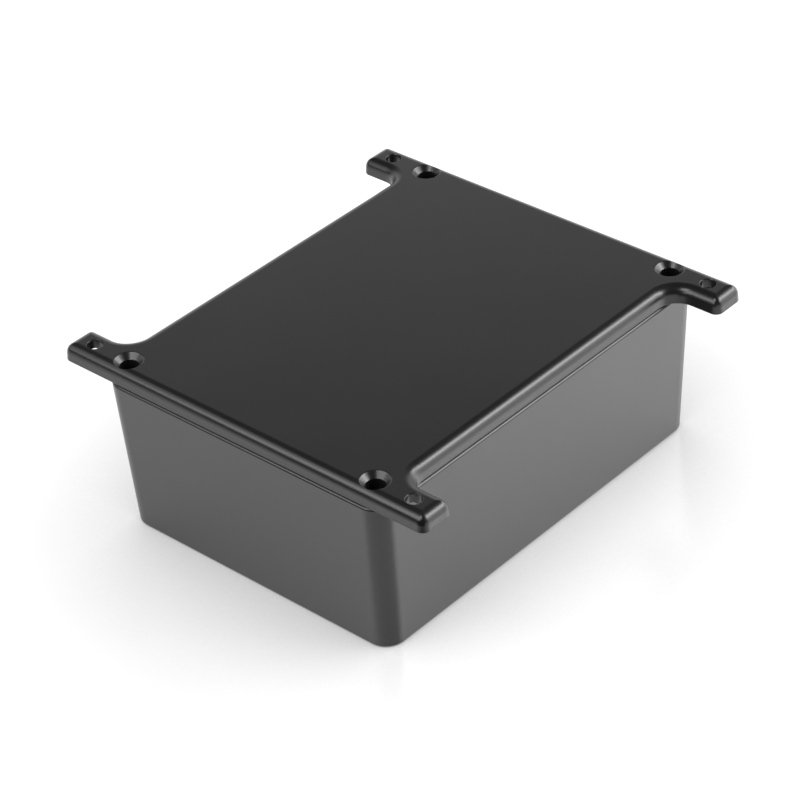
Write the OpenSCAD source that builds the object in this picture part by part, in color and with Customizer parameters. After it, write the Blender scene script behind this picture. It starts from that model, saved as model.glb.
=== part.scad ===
// Die-cast aluminium enclosure: a drafted box closed by a flanged lid.
// The lid seats on the box rim. Its four ears carry the mounting holes, and
// four countersunk holes take the screws that go down into the corner pillars.
// X runs along the ears, Y along the long sides, Z up from the box's underside.

/* [Box] */
// Width across the long sides, at the seam
box_x = 83.5; // [70:0.5:120]
// Length across the short sides, at the seam
box_y = 111; // [80:0.5:160]
// Height from the underside to the seam
box_h = 39.9; // [25:0.1:80]
// Thickness of the walls
wall = 2.2; // [1.6:0.1:3]
// Thickness of the floor
floor_t = 2.4; // [1.6:0.1:4]
// Lean of each wall from upright, in degrees
draft = 2.3; // [0.5:0.1:3]
// Radius of the upright corners
corner_r = 5; // [4:0.1:8]
// Radius along the bottom edge
base_r = 0.9; // [0.4:0.1:2]
// Radius along the rim, outside
rim_r = 0.9; // [0.4:0.1:0.9]
// Height of the seat for the lid, above the rim's round edge
seat_h = 0.3; // [0.1:0.05:0.5]
// Distance of the seat from the outside
seat_in = 1.1; // [1:0.05:1.4]
// Radius along the edge of the floor inside
inside_r = 1.5; // [0.5:0.1:2.5]

/* [Lid] */
// Thickness of the lid at its edge
lid_t = 4.3; // [3.6:0.1:6]
// Thickness of the plate inside the edge
plate_t = 2.3; // [1.6:0.1:3]
// Radius along the top edge
edge_r = 2.5; // [2.2:0.1:3]
// Lean of the lid's edge from upright, in degrees
edge_draft = 4.5; // [1:0.5:8]
// Thickness of the locating lip
lip_t = 1.5; // [1:0.1:2.5]
// Depth of the locating lip below the seam
lip_h = 1.8; // [1:0.1:4]
// Clearance between the lip and the wall or a pillar
lip_gap = 0.3; // [0.2:0.05:0.6]
// Radius along the bottom edge
foot_r = 0.4; // [0.2:0.05:0.6]
// Distance of both rows of holes from the short sides
row_in = 4.5; // [4.3:0.05:5.5]

/* [Ears] */
// Reach of each ear past the long side
ear_reach = 12.7; // [11:0.1:18]
// Width of each ear
ear_w = 9.3; // [8.5:0.1:12]
// Radius of the ear's two outer corners
tip_r = 2; // [1:0.1:2.1]
// Thickness of the wall round the hollow under each ear
ear_wall = 1.6; // [1.2:0.1:2.4]
// Radius of the hollow's corners
hollow_r = 1.4; // [0.5:0.1:1.5]
// Radius of the inner corner where the ear leaves the side
root_r = 5; // [2:0.1:7]
// Diameter of the mounting hole
ear_hole_d = 3.8; // [3:0.1:5]
// Distance of the mounting hole from the ear's end
ear_hole_in = 6.35; // [5.5:0.05:8]
// Radius of the mounting hole's soft rim
ear_rim_r = 0.25; // [0.2:0.05:0.8]

/* [Screws] */
// Distance of the screw holes from the long side
screw_in = 4.55; // [4:0.05:6]
// Diameter of the screw hole in the lid
screw_hole_d = 4.4; // [3.2:0.1:5]
// Diameter of the countersink at the lid's face
sink_d = 7; // [6:0.1:8]
// Angle of the countersink, in degrees
sink_angle = 90; // [80:1:100]
// Radius of the countersink's soft rim
sink_rim_r = 0.45; // [0.2:0.05:0.8]
// Diameter of the tapped hole in the pillar, at the thread's tapping size
pilot_d = 2.9; // [2.4:0.1:3.4]
// Depth of the tapped hole
pilot_h = 16; // [8:0.5:20]
// Diameter of the corner pillars
pillar_d = 8; // [7:0.1:10]

/* [Hidden] */
$fn = 96;
paint = [0.11, 0.11, 0.115];
// Cuts run past the faces they open by this much
over = 1;
// Share of its radius at which a hole rim's arc meets the face, so that they cross
// there and don't graze
rim_cross = 0.985;

// A size that comes from an angle is rounded to this step, so that the straight runs
// and the turns of an edge meet face to face
step = 0.01;
function stepped(size) = step * round(size / step);

slope = tan(draft);
ear_end = box_x / 2 + ear_reach;
hole_row = box_y / 2 - row_in;
screw_x = box_x / 2 - screw_in;
ear_hole_x = ear_end - ear_hole_in;

// Width of the lid's edge: the arc's centre stands this far inside the outline
edge_in = stepped((lid_t - edge_r) * tan(edge_draft) + edge_r / cos(edge_draft));
core_x = box_x / 2 - edge_in;
core_y = box_y / 2 - edge_in;
core_end = ear_end - edge_in;
core_ear = box_y / 2 - ear_w + edge_in;
core_w = ear_w - 2 * edge_in;
cove_r = root_r + edge_in;
cove_x = box_x / 2 + root_r;
cove_y = box_y / 2 - ear_w - root_r;
ear_y = (box_y - ear_w) / 2;
tip_in = edge_in - tip_r;

lip_x = box_x / 2 - wall - lip_gap;
lip_y = box_y / 2 - wall - lip_gap;
lip_end = pillar_d / 2 + lip_gap;
lip_taper = lip_h * tan(edge_draft);
seat_d = pillar_d + lip_gap;
recess_h = lid_t - plate_t;
cavity_r = corner_r - wall;

module at_corners() {
    for (sx = [0, 1], sy = [0, 1])
        mirror([sx, 0, 0]) mirror([0, sy, 0]) children();
}

// A block whose four sides lean out by the draft, from half sizes at its foot
module leaning_block(x, y, h) {
    x_top = x + slope * h;
    y_top = y + slope * h;
    intersection() {
        rotate([90, 0, 0])
            linear_extrude(2 * y_top, center = true)
                polygon([[-x, 0], [x, 0], [x_top, h], [-x_top, h]]);
        rotate([90, 0, 90])
            linear_extrude(2 * x_top, center = true)
                polygon([[-y, 0], [y, 0], [y_top, h], [-y_top, h]]);
    }
}

// A leaning block with round corners: each corner is a cylinder laid along the
// corner's own lean, so its radius stays the same all the way up
module leaning_walls(x, y, r, h) {
    lean = atan(slope * sqrt(2));
    axis_in = r * sqrt((1 / pow(cos(lean), 2) + 1) / 2);
    touch_in = axis_in - pow(r * slope, 2) / axis_in;
    leaning_block(x, y - touch_in, h);
    leaning_block(x - touch_in, y, h);
    intersection() {
        at_corners()
            translate([x - axis_in, y - axis_in, 0])
                rotate(a = lean, v = [-1, 1, 0])
                    translate([0, 0, -over])
                        cylinder(r = r, h = h / cos(lean) + 2 * over);
        translate([-x - h, -y - h, 0]) cube([2 * (x + h), 2 * (y + h), h]);
    }
}

// A straight run of an edge that faces +X, from the edge's section
module edge_run(length) {
    rotate([90, 0, 0]) linear_extrude(length, center = true) children();
}

// An edge round an outer corner, a quarter turn from +X to +Y, about a core of radius r
module edge_turn(r) {
    rotate_extrude(angle = 90) translate([r, 0]) children();
}

// A rectangle with round corners, from half sizes
module round_plan(x, y, r) {
    square([2 * (x - r), 2 * y], center = true);
    square([2 * x, 2 * (y - r)], center = true);
    at_corners() translate([x - r, y - r]) circle(r);
}

// A block that is wide from the height of its edge up. Below that it has round corners
// and an edge of the section given, which stands out from a core of these half sizes.
module edged_block(x, y, r, edge, h) {
    wide_x = x + edge + h;
    wide_y = y + edge + h;
    linear_extrude(edge) round_plan(x, y, r);
    for (side = [0, 180])
        rotate(side) {
            translate([x, 0, 0]) edge_run(2 * (y - r)) children();
            translate([0, y, 0]) rotate(90) edge_run(2 * (x - r)) children();
        }
    at_corners()
        translate([x - r, y - r, 0]) edge_turn(r) children();
    translate([-wide_x, -wide_y, edge]) cube([2 * wide_x, 2 * wide_y, h - edge]);
}

// Section of a rounded edge
module round_edge(r) {
    intersection() {
        translate([0, r]) circle(r);
        square(r);
    }
}

// A tub with leaning walls and a rounded bottom edge, from half sizes at its mouth.
// It runs past its mouth. The edge's arc stands out past the wall's foot by twice
// the wall's lean over it, so that they cross and don't graze.
module tub(x, y, r, h, edge) {
    foot_x = stepped(x - slope * h);
    foot_y = stepped(y - slope * h);
    inset = stepped(edge * (1 - 2 * slope));
    top = h + over;
    intersection() {
        translate([0, 0, -over])
            leaning_walls(foot_x - slope * over, foot_y - slope * over, r, top + over);
        edged_block(foot_x - inset, foot_y - inset, r - inset, edge, top) round_edge(edge);
    }
}

// The box's outer form: a tub with a round rim, and the seat that stands up from it
module box_blank() {
    rim_z = box_h - seat_h;
    intersection() {
        tub(box_x / 2, box_y / 2, corner_r, box_h, base_r);
        translate([0, 0, rim_z])
            mirror([0, 0, 1])
                edged_block(box_x / 2 - rim_r, box_y / 2 - rim_r, corner_r - rim_r, rim_r, box_h)
                    round_edge(rim_r);
    }
    translate([0, 0, rim_z - over])
        linear_extrude(seat_h + over)
            round_plan(box_x / 2 - seat_in, box_y / 2 - seat_in, corner_r - seat_in);
}

// The room inside the box, less the corner pillars
module cavity() {
    difference() {
        translate([0, 0, floor_t])
            tub(box_x / 2 - wall, box_y / 2 - wall, cavity_r, box_h - floor_t, inside_r);
        at_corners()
            translate([screw_x, hole_row, 0]) cylinder(d = pillar_d, h = box_h);
    }
}

module box() {
    color(paint)
        difference() {
            box_blank();
            cavity();
            at_corners()
                translate([screw_x, hole_row, box_h - pilot_h])
                    cylinder(d = pilot_d, h = pilot_h + over);
        }
}

// Section of the lid's edge, from the arc's centre line outwards. The foot's arc stands
// out a step past the leaning side, so that they cross.
module edge_section() {
    arc_z = lid_t - edge_r;
    foot_x = stepped(edge_in - foot_r / tan((90 - edge_draft) / 2) + step);
    polygon([
        [0, 0],
        [foot_x, 0],
        [foot_x, foot_r],
        [edge_in - foot_r * tan(edge_draft), foot_r],
        [edge_r * cos(edge_draft), arc_z + edge_r * sin(edge_draft)],
        [0, arc_z],
    ]);
    translate([0, arc_z])
        intersection() {
            circle(edge_r);
            square(edge_r);
        }
    intersection() {
        translate([foot_x, foot_r]) circle(foot_r);
        translate([foot_x, 0]) square([foot_r, 2 * foot_r]);
    }
}

// The edge round the inner corner at an ear's root, a quarter turn about its centre
module edge_cove() {
    rotate_extrude(angle = 90) translate([cove_r, 0]) mirror([1, 0]) edge_section();
}

// One edge of an ear from the corner of the core, cut for the mitre with the other edge.
// It ends where the round of the corner begins.
module edge_mitre() {
    far = edge_in + over;
    intersection() {
        edge_run(2 * edge_in) edge_section();
        translate([0, 0, -over])
            linear_extrude(lid_t + 2 * over)
                polygon([[0, 0], [far, 0], [far, tip_in], [tip_in, tip_in]]);
    }
}

// The edge round an ear's outer corner, from the corner of the core
module edge_tip() {
    edge_mitre();
    mirror([1, -1, 0]) edge_mitre();
    translate([tip_in, tip_in, 0])
        rotate_extrude(angle = 90)
            intersection() {
                translate([-tip_in, 0]) edge_section();
                square([tip_r, lid_t]);
            }
}

// The lid's plan inside the edge's centre line
module core_plan() {
    square([2 * core_x, 2 * core_y], center = true);
    at_corners() {
        translate([0, core_ear]) square([core_end, core_w]);
        difference() {
            translate([core_x, cove_y]) square(cove_r);
            translate([cove_x, cove_y]) circle(cove_r);
        }
    }
}

// The lid's outer form: the core and the edge that runs round it
module lid_blank() {
    linear_extrude(lid_t) core_plan();
    for (side = [0, 180])
        rotate(side) {
            translate([core_x, 0, 0]) edge_run(2 * cove_y) edge_section();
            translate([0, core_y, 0]) rotate(90) edge_run(2 * core_end) edge_section();
        }
    at_corners() {
        translate([core_end, core_y, 0]) edge_tip();
        translate([core_end, ear_y, 0]) edge_run(core_w) edge_section();
        translate([core_end, core_ear, 0]) rotate(-90) edge_tip();
        translate([(cove_x + core_end) / 2, core_ear, 0])
            rotate(-90) edge_run(core_end - cove_x) edge_section();
        translate([cove_x, cove_y, 0]) rotate(90) edge_cove();
    }
}

// Section of what is cut from a soft rim, where a hole of radius r opens in a face
// at height 0. The flare is the angle by which the hole widens there.
module rim_section(r, rim, flare) {
    reach = rim * tan((90 - flare) / 2);
    low = [r - reach * sin(flare), -reach * cos(flare)];
    difference() {
        polygon([low, [r + reach, 0], [r + reach, over], [low[0], over]]);
        translate([r + rim_cross * reach, -rim_cross * rim]) circle(rim);
    }
}

// A screw hole through the lid, with its countersink
module screw_cut() {
    flare = sink_angle / 2;
    hole_r = screw_hole_d / 2;
    sink_r = sink_d / 2;
    sink_z = lid_t - (sink_r - hole_r) / tan(flare);
    rotate_extrude() {
        translate([0, -over]) square([hole_r, lid_t + over]);
        polygon([
            [0, sink_z],
            [hole_r, sink_z],
            [sink_r, lid_t],
            [sink_r, lid_t + over],
            [0, lid_t + over],
        ]);
        translate([0, lid_t]) rim_section(sink_r, sink_rim_r, flare);
    }
}

// A mounting hole through an ear
module ear_cut() {
    rotate_extrude() {
        translate([0, -over]) square([ear_hole_d / 2, lid_t + 2 * over]);
        translate([0, lid_t]) rim_section(ear_hole_d / 2, ear_rim_r, 0);
    }
}

// The hollows under the plate and the ears. The plate's leaves a seat round each screw hole.
module recess() {
    linear_extrude(recess_h + over) {
        difference() {
            round_plan(lip_x - lip_t, lip_y - lip_t, cavity_r);
            at_corners() translate([screw_x, hole_row]) circle(d = seat_d);
        }
        at_corners()
            translate([(box_x + ear_reach) / 2, ear_y])
                round_plan(ear_reach / 2 - ear_wall, ear_w / 2 - ear_wall, hollow_r);
    }
}

// A straight length of the lip that locates the lid inside the walls, along Y
module lip_run(length) {
    rotate([90, 0, 0])
        linear_extrude(length, center = true)
            polygon([
                [-lip_t, recess_h],
                [-lip_t, 0],
                [lip_taper - lip_t, -lip_h],
                [-lip_taper, -lip_h],
                [0, 0],
                [0, recess_h],
            ]);
}

module lid() {
    color(paint)
        translate([0, 0, box_h]) {
            difference() {
                lid_blank();
                translate([0, 0, -over]) recess();
                at_corners() {
                    translate([screw_x, hole_row, 0]) screw_cut();
                    translate([ear_hole_x, hole_row, 0]) ear_cut();
                }
            }
            for (side = [0, 180])
                rotate(side) {
                    translate([lip_x, 0, 0]) lip_run(2 * (hole_row - lip_end));
                    translate([0, lip_y, 0]) rotate(90) lip_run(2 * (screw_x - lip_end));
                }
        }
}

box();
lid();
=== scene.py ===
"""Die-cast enclosure in satin black paint: the finish of its two castings, and a white studio."""

import math
from collections import namedtuple

import bmesh
import bpy
from bpy.props import FloatProperty, FloatVectorProperty, PointerProperty
from mathutils import Matrix, Vector


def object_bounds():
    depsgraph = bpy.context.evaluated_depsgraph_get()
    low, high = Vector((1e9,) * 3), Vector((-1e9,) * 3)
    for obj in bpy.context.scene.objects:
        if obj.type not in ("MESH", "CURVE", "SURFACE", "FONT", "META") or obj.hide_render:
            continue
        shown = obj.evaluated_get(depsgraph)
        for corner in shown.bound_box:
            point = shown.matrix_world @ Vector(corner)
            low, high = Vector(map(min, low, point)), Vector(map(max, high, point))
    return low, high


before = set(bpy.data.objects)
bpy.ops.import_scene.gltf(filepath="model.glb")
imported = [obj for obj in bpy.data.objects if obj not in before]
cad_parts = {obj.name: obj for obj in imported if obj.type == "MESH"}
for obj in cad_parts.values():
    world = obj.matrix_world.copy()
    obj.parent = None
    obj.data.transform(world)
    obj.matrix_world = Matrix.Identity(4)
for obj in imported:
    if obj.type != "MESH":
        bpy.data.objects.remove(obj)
CAD_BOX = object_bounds()

bl_info = {
    "name": "Die-cast enclosure",
    "version": (1, 0, 0),
    "blender": (4, 5, 0),
    "location": "3D View > Sidebar > Enclosure",
    "description": "Paints a flanged die-cast enclosure and sets it on a white table",
    "category": "Object",
}

# Millimetres
SENSOR_WIDTH = 36.0
UP = Vector((0, 0, 1))
LID_TOP = CAD_BOX[1].z
NODE_COLUMN, NODE_ROW = 220, 240
SHADE_SAMPLES = 8
# How many finer layers the noises have, and the middle of a noise's values
PEEL_DETAIL, FLOW_DETAIL = 2, 1
NOISE_MIDDLE = 0.5
FLOAT, COLOUR = "NodeSocketFloat", "NodeSocketColor"
# The colour sockets of a Mix node, among those for its other kinds of value
MIX_FIRST, MIX_SECOND, MIX_RESULT = 6, 7, 2

# A soft panel: degrees it is turned from the camera's right, metres it stands away, degrees of its
# lower and upper edge seen from the lid, metres of width, and its share of its side's brightness
SoftPanel = namedtuple("SoftPanel", "name turn away low high width share")
RIGHT_PANELS = (
    SoftPanel("right_panel", turn=10, away=1.3, low=24, high=39, width=1.63, share=0.72),
    SoftPanel("right_foot", turn=10, away=1.3, low=1, high=24, width=1.63, share=0.26),
    SoftPanel("right_halo", turn=-4.5, away=1.3, low=24, high=49, width=0.82, share=0.37),
)
LEFT_PANELS = (
    SoftPanel("left_panel", turn=213, away=0.4, low=18, high=44, width=0.44, share=0.75),
    SoftPanel("left_halo", turn=200, away=0.4, low=18, high=53, width=0.7, share=0.25),
)
FRONT_PANELS = (
    SoftPanel("front_panel", turn=228.5, away=0.5, low=49, high=63, width=0.456, share=1),
)
# The flag's two ends, in metres to the camera's right of the enclosure and towards the camera
FLAG_ENDS = ((-0.41, 0.1), (0.045, 0.145))
# The wall behind fades out between these heights, in degrees, and between these cosines of the
# angle from straight behind
WALL_TOP = (25, 36.5)
WALL_SIDE = (0.1, 0.6)


class PaintSettings(bpy.types.PropertyGroup):
    """The satin black paint on both castings."""

    colour: FloatVectorProperty(
        name="Colour", description="Colour of the paint", subtype="COLOR", size=3, min=0, max=1,
        default=(0.0072, 0.0072, 0.0075),
    )
    thin_colour: FloatVectorProperty(
        name="Thin colour", description="Colour of the paint where the coat is thin", subtype="COLOR",
        size=3, min=0, max=1, default=(0.0098, 0.0098, 0.0101),
    )
    index: FloatProperty(
        name="Index", description="Refractive index of the paint's gloss", default=1.6, min=1,
    )
    roughness: FloatProperty(
        name="Roughness", description="How far the satin paint spreads a reflection", subtype="FACTOR",
        default=0.29, min=0, max=1,
    )
    roughness_swing: FloatProperty(
        name="Roughness swing", description="How much the roughness differs from place to place",
        subtype="FACTOR", default=0.024, min=0, max=1,
    )
    peel_size: FloatProperty(
        name="Peel size", description="Width of the fine dimples in the paint", subtype="DISTANCE",
        default=0.0006, min=0.0001,
    )
    peel_depth: FloatProperty(
        name="Peel depth", description="Depth of the fine dimples in the paint", subtype="DISTANCE",
        default=0.0000012, min=0,
    )
    flow_size: FloatProperty(
        name="Flow size", description="Width of the slow waves that the casting leaves",
        subtype="DISTANCE", default=0.018, min=0.001,
    )
    flow_depth: FloatProperty(
        name="Flow depth", description="Depth of the slow waves that the casting leaves",
        subtype="DISTANCE", default=0.000012, min=0,
    )
    dust_colour: FloatVectorProperty(
        name="Dust colour", description="Colour of the specks of dust", subtype="COLOR", size=3,
        min=0, max=1, default=(0.075, 0.073, 0.07),
    )
    dust_size: FloatProperty(
        name="Dust size", description="Radius of the largest speck of dust", subtype="DISTANCE",
        default=0.00013, min=0,
    )
    dust_gap: FloatProperty(
        name="Dust gap", description="Usual distance between specks of dust", subtype="DISTANCE",
        default=0.005, min=0.0005,
    )


class CameraSettings(bpy.types.PropertyGroup):
    """Where the camera stands and how it looks."""

    azimuth: FloatProperty(
        name="Azimuth", description="Turn round the enclosure from its -Y side", subtype="ANGLE",
        default=math.radians(43.568),
    )
    elevation: FloatProperty(
        name="Elevation", description="Angle above the table", subtype="ANGLE",
        default=math.radians(34.864),
    )
    roll: FloatProperty(
        name="Roll", description="Tilt of the camera about its own line of sight", subtype="ANGLE",
        default=math.radians(-3.943),
    )
    distance: FloatProperty(
        name="Distance", description="Distance from the enclosure's middle", subtype="DISTANCE",
        default=0.67535,
    )
    lens: FloatProperty(
        name="Lens", description="Focal length for a sensor 36 mm wide", subtype="DISTANCE_CAMERA",
        default=131.143,
    )
    aside: FloatProperty(
        name="Aside", description="How far to the right of the middle the camera aims",
        subtype="DISTANCE", default=-0.001937,
    )
    above: FloatProperty(
        name="Above", description="How far above the middle the camera aims", subtype="DISTANCE",
        default=-0.001587,
    )


class StudioSettings(bpy.types.PropertyGroup):
    """The table, the soft lights, the flag and the room."""

    table_reach: FloatProperty(
        name="Table reach", description="From the middle of the table to its edges", subtype="DISTANCE",
        default=3.0, min=0.5,
    )
    table_colour: FloatVectorProperty(
        name="Table", description="Colour of the table", subtype="COLOR", size=3, min=0, max=1,
        default=(0.25, 0.25, 0.25),
    )
    table_glow: FloatProperty(
        name="Table glow", description="What the table adds of its own to read as white",
        subtype="FACTOR", default=0.95, min=0, max=1,
    )
    # Reach of the painted contact shade that dims the table's glow round the enclosure
    table_shade: FloatProperty(
        name="Table shade", description="How far the enclosure keeps light from the table round it",
        subtype="DISTANCE", default=0.07, min=0.01,
    )
    table_roughness: FloatProperty(
        name="Table roughness", description="How far the glossy table spreads a reflection",
        subtype="FACTOR", default=0.2, min=0, max=1,
    )
    table_index: FloatProperty(
        name="Table index", description="Refractive index of the table's gloss", default=2.45, min=1,
    )
    right_light: FloatProperty(
        name="Right light", description="Brightness of the soft light on the right", default=9.0, min=0,
    )
    left_light: FloatProperty(
        name="Left light", description="Brightness of the soft light on the left", default=3.5, min=0,
    )
    front_light: FloatProperty(
        name="Front light", description="Brightness of the soft light over the front left",
        default=6.0, min=0,
    )
    flag_height: FloatProperty(
        name="Flag height", description="Height of the black flag on the table", subtype="DISTANCE",
        default=0.09, min=0,
    )
    flag_colour: FloatVectorProperty(
        name="Flag", description="Colour of the flag's cloth", subtype="COLOR", size=3, min=0, max=1,
        default=(0.05, 0.05, 0.05),
    )
    wall_light: FloatProperty(
        name="Back wall", description="Brightness of the wall behind the table",
        default=1.0, min=0, max=1,
    )
    room_light: FloatProperty(
        name="Room", description="Brightness of the rest of the room", default=0.06, min=0, max=1,
    )


def place(tree, kind, column, row, **values):
    """Adds a node at a place in the tree's grid and sets its plain inputs and options."""
    node = tree.nodes.new(kind)
    node.location = (column * NODE_COLUMN, -row * NODE_ROW)
    for name, value in values.items():
        if hasattr(node, name):
            setattr(node, name, value)
        else:
            node.inputs[name.replace("_", " ").title()].default_value = value
    return node


def empty_material(name):
    """A new material and its node tree, with no nodes in it yet."""
    material = bpy.data.materials.new(name)
    material.use_nodes = True
    material.node_tree.nodes.clear()
    return material, material.node_tree


def new_group(name, inputs, outputs):
    """An empty shader node group whose sockets have these names and kinds."""
    group = bpy.data.node_groups.new(name, "ShaderNodeTree")
    for side, sockets in (("INPUT", inputs), ("OUTPUT", outputs)):
        for label, kind in sockets:
            group.interface.new_socket(label, in_out=side, socket_type=kind)
    return group, group.nodes.new("NodeGroupInput").outputs, group.nodes.new("NodeGroupOutput").inputs


def join(tree, source, target):
    """Sets an input to a plain value, or links it to an output."""
    if isinstance(source, bpy.types.NodeSocket):
        tree.links.new(source, target)
    else:
        target.default_value = source


def math_node(tree, operation, column, row, *sources):
    """A Math node whose inputs are numbers or outputs of other nodes."""
    node = place(tree, "ShaderNodeMath", column, row, operation=operation)
    for source, target in zip(sources, node.inputs):
        join(tree, source, target)
    return node.outputs[0]


def mix_colour(tree, column, row, share, first, second):
    """A colour between two others, nearer the second where the share is larger."""
    node = place(tree, "ShaderNodeMix", column, row, data_type="RGBA")
    tree.links.new(share, node.inputs["Factor"])
    tree.links.new(first, node.inputs[MIX_FIRST])
    tree.links.new(second, node.inputs[MIX_SECOND])
    return node.outputs[MIX_RESULT]


def noise(tree, column, row, where, size, detail):
    """Soft noise between 0 and 1 whose lumps are about as wide as the size."""
    node = place(tree, "ShaderNodeTexNoise", column, row, detail=detail)
    tree.links.new(where, node.inputs["Vector"])
    tree.links.new(math_node(tree, "DIVIDE", column - 1, row, 1, size), node.inputs["Scale"])
    return node.outputs["Fac"]


def specks(tree, column, row, where, size, gap):
    """1 on scattered specks up to this radius, about a gap apart in space, and 0 elsewhere."""
    node = place(tree, "ShaderNodeTexVoronoi", column, row)
    tree.links.new(where, node.inputs["Vector"])
    tree.links.new(math_node(tree, "DIVIDE", column - 1, row, 1, gap), node.inputs["Scale"])
    chance = place(tree, "ShaderNodeSeparateColor", column + 1, row + 1)
    tree.links.new(node.outputs["Color"], chance.inputs["Color"])
    away = math_node(tree, "MULTIPLY", column + 1, row, node.outputs["Distance"], gap)
    radius = math_node(tree, "MULTIPLY", column + 2, row + 1, chance.outputs["Red"], size)
    return math_node(tree, "LESS_THAN", column + 3, row, away, radius)


def paint_skin():
    """Group: the colour of the paint and its dust, how the gloss varies, and the surface's height."""
    group, given, result = new_group(
        "paint_skin",
        [("Colour", COLOUR), ("Thin Colour", COLOUR), ("Roughness", FLOAT), ("Roughness Swing", FLOAT),
         ("Peel Size", FLOAT), ("Peel Depth", FLOAT), ("Flow Size", FLOAT), ("Flow Depth", FLOAT),
         ("Dust Colour", COLOUR), ("Dust Size", FLOAT), ("Dust Gap", FLOAT)],
        [("Colour", COLOUR), ("Roughness", FLOAT), ("Height", FLOAT)],
    )
    where = place(group, "ShaderNodeTexCoord", -5, 0).outputs["Object"]
    peel = noise(group, -3, 0, where, given["Peel Size"], PEEL_DETAIL)
    flow = noise(group, -3, 1, where, given["Flow Size"], FLOW_DETAIL)
    dust = specks(group, -3, 3, where, given["Dust Size"], given["Dust Gap"])
    coat = mix_colour(group, 1, 2, flow, given["Colour"], given["Thin Colour"])
    join(group, mix_colour(group, 2, 2, dust, coat, given["Dust Colour"]), result["Colour"])
    swing = math_node(group, "SUBTRACT", 0, 1, flow, NOISE_MIDDLE)
    gloss = math_node(group, "MULTIPLY_ADD", 1, 1, swing, given["Roughness Swing"], given["Roughness"])
    join(group, math_node(group, "MAXIMUM", 2, 1, gloss, dust), result["Roughness"])
    dimples = math_node(group, "MULTIPLY", 0, 0, peel, given["Peel Depth"])
    height = math_node(group, "MULTIPLY_ADD", 1, 0, flow, given["Flow Depth"], dimples)
    join(group, height, result["Height"])
    return group


def paint_material(name, paint):
    """Satin black paint for one casting."""
    material, tree = empty_material(name)
    skin = place(tree, "ShaderNodeGroup", -2, 0)
    skin.node_tree = bpy.data.node_groups.get("paint_skin") or paint_skin()
    for label, value in (
        ("Colour", (*paint.colour, 1)), ("Thin Colour", (*paint.thin_colour, 1)),
        ("Roughness", paint.roughness), ("Roughness Swing", paint.roughness_swing),
        ("Peel Size", paint.peel_size), ("Peel Depth", paint.peel_depth),
        ("Flow Size", paint.flow_size), ("Flow Depth", paint.flow_depth),
        ("Dust Colour", (*paint.dust_colour, 1)), ("Dust Size", paint.dust_size),
        ("Dust Gap", paint.dust_gap),
    ):
        skin.inputs[label].default_value = value
    # The group's height is in metres already
    bump = place(tree, "ShaderNodeBump", -1, 1, distance=1)
    shader = place(tree, "ShaderNodeBsdfPrincipled", 0, 0)
    shader.inputs["IOR"].default_value = paint.index
    output = place(tree, "ShaderNodeOutputMaterial", 1, 0)
    tree.links.new(skin.outputs["Colour"], shader.inputs["Base Color"])
    tree.links.new(skin.outputs["Roughness"], shader.inputs["Roughness"])
    tree.links.new(skin.outputs["Height"], bump.inputs["Height"])
    tree.links.new(bump.outputs["Normal"], shader.inputs["Normal"])
    tree.links.new(shader.outputs["BSDF"], output.inputs["Surface"])
    return material


class ENCLOSURE_OT_paint_box(bpy.types.Operator):
    """Paint the box"""

    bl_idname = "enclosure.paint_box"
    bl_label = "Paint the box"

    def execute(self, context):
        material = paint_material("box_paint", context.scene.enclosure_paint)
        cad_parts["box"].material_slots[0].material = material
        return {"FINISHED"}


class ENCLOSURE_OT_paint_lid(bpy.types.Operator):
    """Paint the lid"""

    bl_idname = "enclosure.paint_lid"
    bl_label = "Paint the lid"

    def execute(self, context):
        material = paint_material("lid_paint", context.scene.enclosure_paint)
        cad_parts["lid"].material_slots[0].material = material
        return {"FINISHED"}


def stage_sheet(name, corners, material):
    """A flat stage piece from four corners."""
    mesh = bpy.data.meshes.new(name)
    shape = bmesh.new()
    bmesh.ops.contextual_create(shape, geom=[shape.verts.new(corner) for corner in corners])
    shape.to_mesh(mesh)
    shape.free()
    mesh.materials.append(material)
    sheet = bpy.data.objects.new(name, mesh)
    bpy.context.scene.collection.objects.link(sheet)
    return sheet


def seen_directly(tree, column, row):
    """1 for what the camera sees, also in a reflection or through glass."""
    path = place(tree, "ShaderNodeLightPath", column, row).outputs
    either = math_node(tree, "MAXIMUM", column + 1, row, path["Is Camera Ray"], path["Is Glossy Ray"])
    return math_node(tree, "MAXIMUM", column + 2, row, either, path["Is Transmission Ray"])


def table_material(studio):
    """Glossy white table: it takes the shadow, its own glow brings it up to white, and that glow is
    dimmed round the enclosure as painted shade.
    """
    material, tree = empty_material("table_white")
    top = place(tree, "ShaderNodeBsdfPrincipled", 0, 0)
    top.inputs["Base Color"].default_value = (*studio.table_colour, 1)
    top.inputs["Roughness"].default_value = studio.table_roughness
    top.inputs["IOR"].default_value = studio.table_index
    top.inputs["Emission Color"].default_value = (1, 1, 1, 1)
    # Less glow where the enclosure stands close: a painted contact shadow on the table
    painted_contact_shade = place(tree, "ShaderNodeAmbientOcclusion", -3, 2, samples=SHADE_SAMPLES)
    painted_contact_shade.inputs["Distance"].default_value = studio.table_shade
    white = math_node(tree, "MULTIPLY", -2, 2, painted_contact_shade.outputs["AO"], studio.table_glow)
    glow = math_node(tree, "MULTIPLY", -1, 1, seen_directly(tree, -4, 1), white)
    output = place(tree, "ShaderNodeOutputMaterial", 1, 0)
    tree.links.new(glow, top.inputs["Emission Strength"])
    tree.links.new(top.outputs["BSDF"], output.inputs["Surface"])
    return material


def table(studio):
    """The table that the enclosure stands on."""
    reach = studio.table_reach
    corners = [(-reach, -reach, 0), (reach, -reach, 0), (reach, reach, 0), (-reach, reach, 0)]
    stage_sheet("table", corners, table_material(studio))


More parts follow.
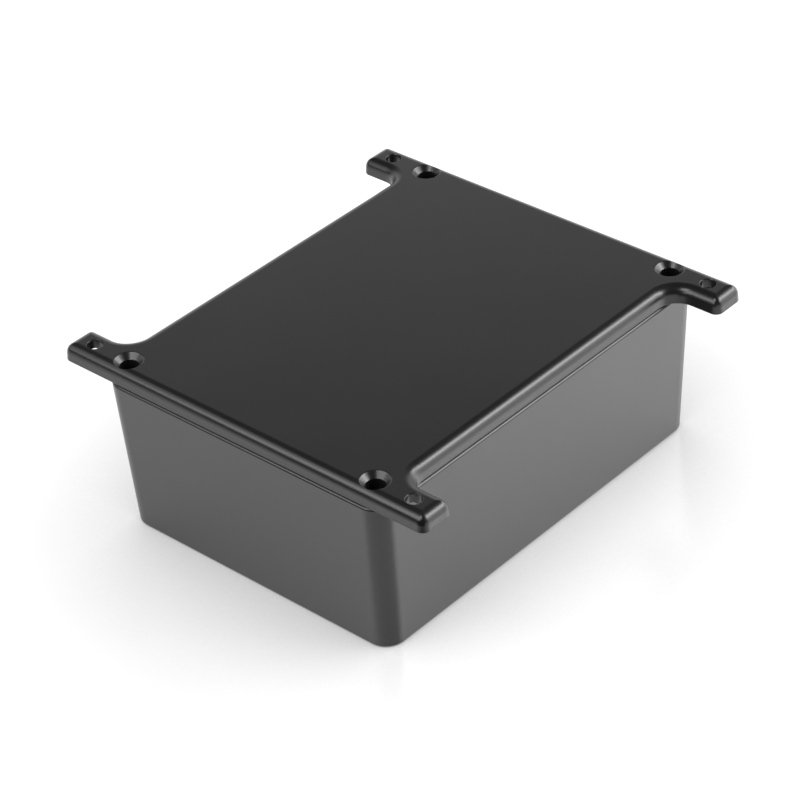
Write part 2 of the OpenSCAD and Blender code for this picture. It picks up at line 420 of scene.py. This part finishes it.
def flag(studio, ends):
    """A low black flag: the camera doesn't see it and it casts no shadow, but it is reflected."""
    material, tree = empty_material("flag_black")
    cloth = place(tree, "ShaderNodeBsdfDiffuse", 0, 0)
    cloth.inputs["Color"].default_value = (*studio.flag_colour, 1)
    output = place(tree, "ShaderNodeOutputMaterial", 1, 0)
    tree.links.new(cloth.outputs["BSDF"], output.inputs["Surface"])
    feet = [Vector((end.x, end.y, 0)) for end in ends]
    tops = [foot + studio.flag_height * UP for foot in reversed(feet)]
    sheet = stage_sheet("flag", feet + tops, material)
    sheet.visible_camera = False
    sheet.visible_shadow = False


def soft_light(panel, middle, right, brightness):
    """An upright soft panel that faces the enclosure and that the camera doesn't see."""
    outward = Matrix.Rotation(math.radians(panel.turn), 3, "Z") @ right
    edges = (panel.low, panel.high)
    bottom, top = (LID_TOP + panel.away * math.tan(math.radians(edge)) for edge in edges)
    light = bpy.data.lights.new(panel.name, "AREA")
    light.shape = "RECTANGLE"
    light.size = panel.width
    light.size_y = top - bottom
    # The watts at which the panel's face has this brightness
    light.energy = panel.share * brightness * math.pi * light.size * light.size_y
    lamp = bpy.data.objects.new(panel.name, light)
    lamp.location = Vector((middle.x, middle.y, (bottom + top) / 2)) + panel.away * outward
    lamp.rotation_euler = (-outward).to_track_quat("-Z", "Y").to_euler()
    lamp.visible_camera = False
    bpy.context.scene.collection.objects.link(lamp)


def smooth_step(tree, column, row, value, start, end):
    """0 at the start, 1 at the end, and smooth between them."""
    node = place(tree, "ShaderNodeMapRange", column, row, interpolation_type="SMOOTHSTEP")
    node.inputs["From Min"].default_value = start
    node.inputs["From Max"].default_value = end
    tree.links.new(value, node.inputs["Value"])
    return node.outputs["Result"]


def room(studio, back):
    """The room: a white wall behind the table that fades out upwards and to the sides."""
    world = bpy.data.worlds.new("room")
    bpy.context.scene.world = world
    world.use_nodes = True
    tree = world.node_tree
    tree.nodes.clear()
    where = place(tree, "ShaderNodeTexCoord", -6, 0).outputs["Generated"]
    split = place(tree, "ShaderNodeSeparateXYZ", -5, 0)
    facing = place(tree, "ShaderNodeVectorMath", -5, 1, operation="DOT_PRODUCT")
    facing.inputs[1].default_value = back
    tree.links.new(where, split.inputs["Vector"])
    tree.links.new(where, facing.inputs[0])
    full, gone = (math.sin(math.radians(height)) for height in WALL_TOP)
    low = smooth_step(tree, -4, 0, split.outputs["Z"], gone, full)
    behind = smooth_step(tree, -4, 1, facing.outputs["Value"], *WALL_SIDE)
    brightness = place(tree, "ShaderNodeMapRange", -2, 0)
    brightness.inputs["To Min"].default_value = studio.room_light
    brightness.inputs["To Max"].default_value = studio.wall_light
    background = place(tree, "ShaderNodeBackground", -1, 0)
    output = place(tree, "ShaderNodeOutputWorld", 0, 0)
    tree.links.new(math_node(tree, "MULTIPLY", -3, 0, low, behind), brightness.inputs["Value"])
    tree.links.new(brightness.outputs["Result"], background.inputs["Color"])
    tree.links.new(background.outputs["Background"], output.inputs["Surface"])


def camera_axes(view):
    """The camera's right, up and back directions, as columns."""
    turn = Matrix.Rotation(view.azimuth, 3, "Z")
    lift = Matrix.Rotation(math.pi / 2 - view.elevation, 3, "X")
    roll = Matrix.Rotation(view.roll, 3, "Z")
    return turn @ lift @ roll


def photo_camera(view, middle, axes):
    """The camera, aimed a little beside the enclosure's middle."""
    lens = bpy.data.cameras.new("camera")
    lens.lens = view.lens
    lens.sensor_width = SENSOR_WIDTH
    camera = bpy.data.objects.new("camera", lens)
    aim = middle + view.aside * axes.col[0] + view.above * axes.col[1]
    eye = middle + view.distance * axes.col[2]
    back = (eye - aim).normalized()
    up = back.cross(axes.col[0]).normalized()
    turned = Matrix((up.cross(back), up, back)).transposed()
    camera.matrix_world = Matrix.Translation(eye) @ turned.to_4x4()
    bpy.context.scene.collection.objects.link(camera)
    return camera


class ENCLOSURE_OT_set_stage(bpy.types.Operator):
    """Set the table, the lights, the room and the camera"""

    bl_idname = "enclosure.set_stage"
    bl_label = "Set the stage"

    def execute(self, context):
        scene = context.scene
        studio = scene.enclosure_studio
        view = scene.enclosure_camera
        scene.view_settings.view_transform = "Standard"
        middle = (CAD_BOX[0] + CAD_BOX[1]) / 2
        axes = camera_axes(view)
        right = axes.col[0].copy()
        right.z = 0
        right.normalize()
        front = right.cross(UP)
        table(studio)
        for panel in RIGHT_PANELS:
            soft_light(panel, middle, right, studio.right_light)
        for panel in LEFT_PANELS:
            soft_light(panel, middle, right, studio.left_light)
        for panel in FRONT_PANELS:
            soft_light(panel, middle, right, studio.front_light)
        flag(studio, [middle + aside * right + ahead * front for aside, ahead in FLAG_ENDS])
        room(studio, -front)
        scene.camera = photo_camera(view, middle, axes)
        return {"FINISHED"}


class ENCLOSURE_PT_sidebar(bpy.types.Panel):
    """Lists the enclosure's settings and steps"""

    bl_idname = "ENCLOSURE_PT_sidebar"
    bl_label = "Die-cast enclosure"
    bl_space_type = "VIEW_3D"
    bl_region_type = "UI"
    bl_category = "Enclosure"

    def draw(self, context):
        layout = self.layout
        scene = context.scene
        for group in (scene.enclosure_paint, scene.enclosure_studio, scene.enclosure_camera):
            for name in group.bl_rna.properties.keys():
                if name not in ("rna_type", "name"):
                    layout.prop(group, name)
        for step in STEPS:
            layout.operator(step.bl_idname)


STEPS = (ENCLOSURE_OT_paint_box, ENCLOSURE_OT_paint_lid, ENCLOSURE_OT_set_stage)
CLASSES = (PaintSettings, CameraSettings, StudioSettings, *STEPS, ENCLOSURE_PT_sidebar)


def register():
    """Adds the settings, the steps and the panel."""
    for item in CLASSES:
        bpy.utils.register_class(item)
    bpy.types.Scene.enclosure_paint = PointerProperty(type=PaintSettings)
    bpy.types.Scene.enclosure_camera = PointerProperty(type=CameraSettings)
    bpy.types.Scene.enclosure_studio = PointerProperty(type=StudioSettings)


def unregister():
    """Takes them away again."""
    del bpy.types.Scene.enclosure_studio
    del bpy.types.Scene.enclosure_camera
    del bpy.types.Scene.enclosure_paint
    for item in reversed(CLASSES):
        bpy.utils.unregister_class(item)


def main():
    """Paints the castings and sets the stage."""
    register()
    bpy.ops.enclosure.paint_box()
    bpy.ops.enclosure.paint_lid()
    bpy.ops.enclosure.set_stage()


if __name__ == "__main__":
    main()
